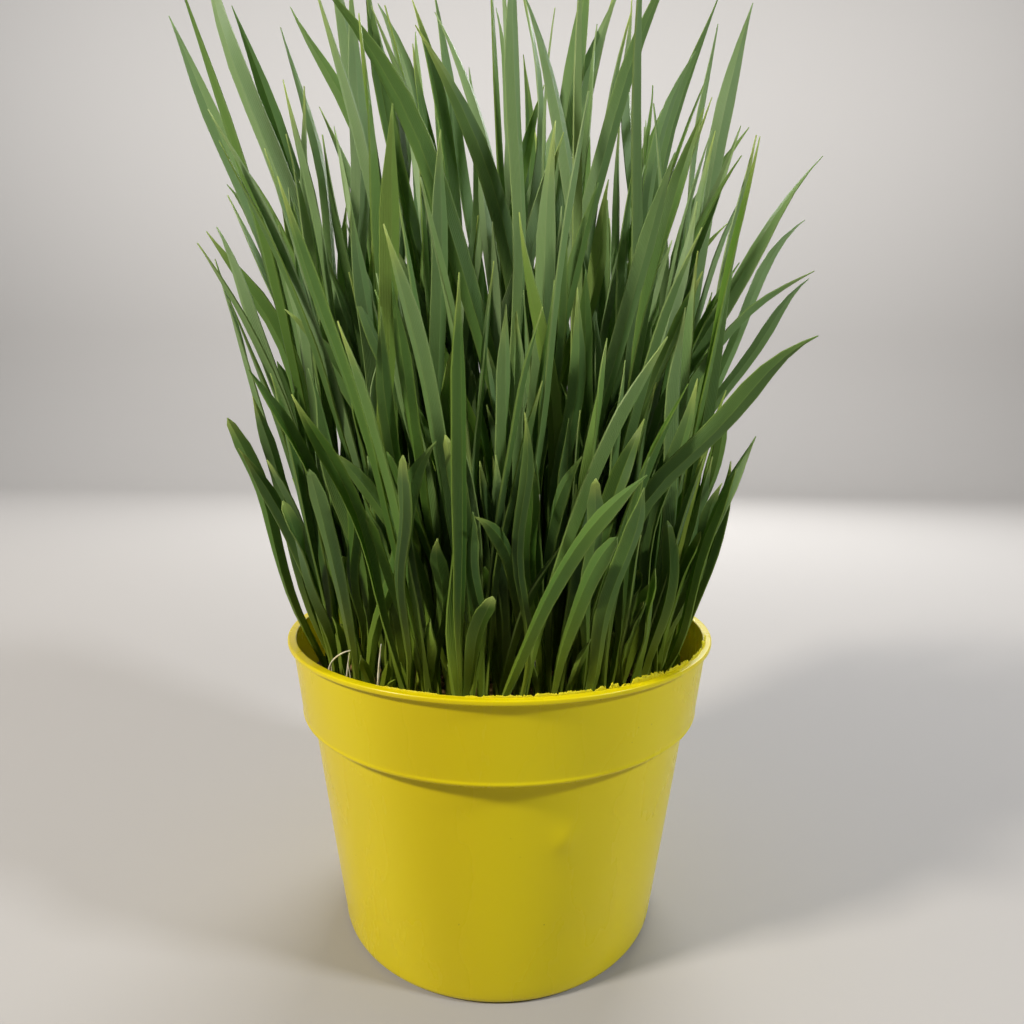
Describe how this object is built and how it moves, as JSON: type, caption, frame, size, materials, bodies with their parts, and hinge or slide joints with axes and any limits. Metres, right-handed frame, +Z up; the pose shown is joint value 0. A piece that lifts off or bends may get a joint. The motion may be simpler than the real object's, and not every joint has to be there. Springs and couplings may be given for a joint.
{
  "type": "wheatgrass pot",
  "caption": "Tall wheatgrass growing thickly in a round tapered plastic pot with a rolled lip and a deep collar; it stands on a flat foot.",
  "frame": {"origin": "centre of the pot's flat foot, on the surface that it stands on", "axes": "+Z up, along the pot's axis; -Y towards the front, where the grass was looked at from; +X to the right"},
  "size_m": [0.2173, 0.1827, 0.322],
  "materials": {
    "yellow_plastic": "satin",
    "potting_soil": "matte",
    "wheatgrass": "satin"
  },
  "bodies": {
    "root": {"pot": "yellow_plastic", "soil": "potting_soil", "grass_tuft_01": "wheatgrass", "grass_tuft_02": "wheatgrass", "grass_tuft_03": "wheatgrass", "grass_tuft_04": "wheatgrass", "grass_tuft_05": "wheatgrass", "grass_tuft_06": "wheatgrass", "grass_tuft_07": "wheatgrass", "grass_tuft_08": "wheatgrass", "grass_tuft_09": "wheatgrass", "grass_tuft_10": "wheatgrass", "grass_tuft_11": "wheatgrass", "grass_tuft_12": "wheatgrass", "grass_tuft_13": "wheatgrass", "grass_tuft_14": "wheatgrass", "grass_tuft_15": "wheatgrass", "grass_tuft_16": "wheatgrass", "grass_tuft_17": "wheatgrass", "grass_tuft_18": "wheatgrass", "grass_tuft_19": "wheatgrass", "grass_tuft_20": "wheatgrass", "grass_tuft_21": "wheatgrass", "grass_tuft_22": "wheatgrass", "grass_tuft_23": "wheatgrass", "grass_tuft_24": "wheatgrass", "grass_tuft_25": "wheatgrass", "grass_tuft_26": "wheatgrass", "grass_tuft_27": "wheatgrass", "grass_tuft_28": "wheatgrass", "grass_tuft_29": "wheatgrass", "grass_tuft_30": "wheatgrass", "grass_tuft_31": "wheatgrass", "grass_tuft_32": "wheatgrass", "grass_tuft_33": "wheatgrass", "grass_tuft_34": "wheatgrass", "grass_tuft_35": "wheatgrass", "grass_tuft_36": "wheatgrass", "grass_tuft_37": "wheatgrass"}
  },
  "joints": []
}
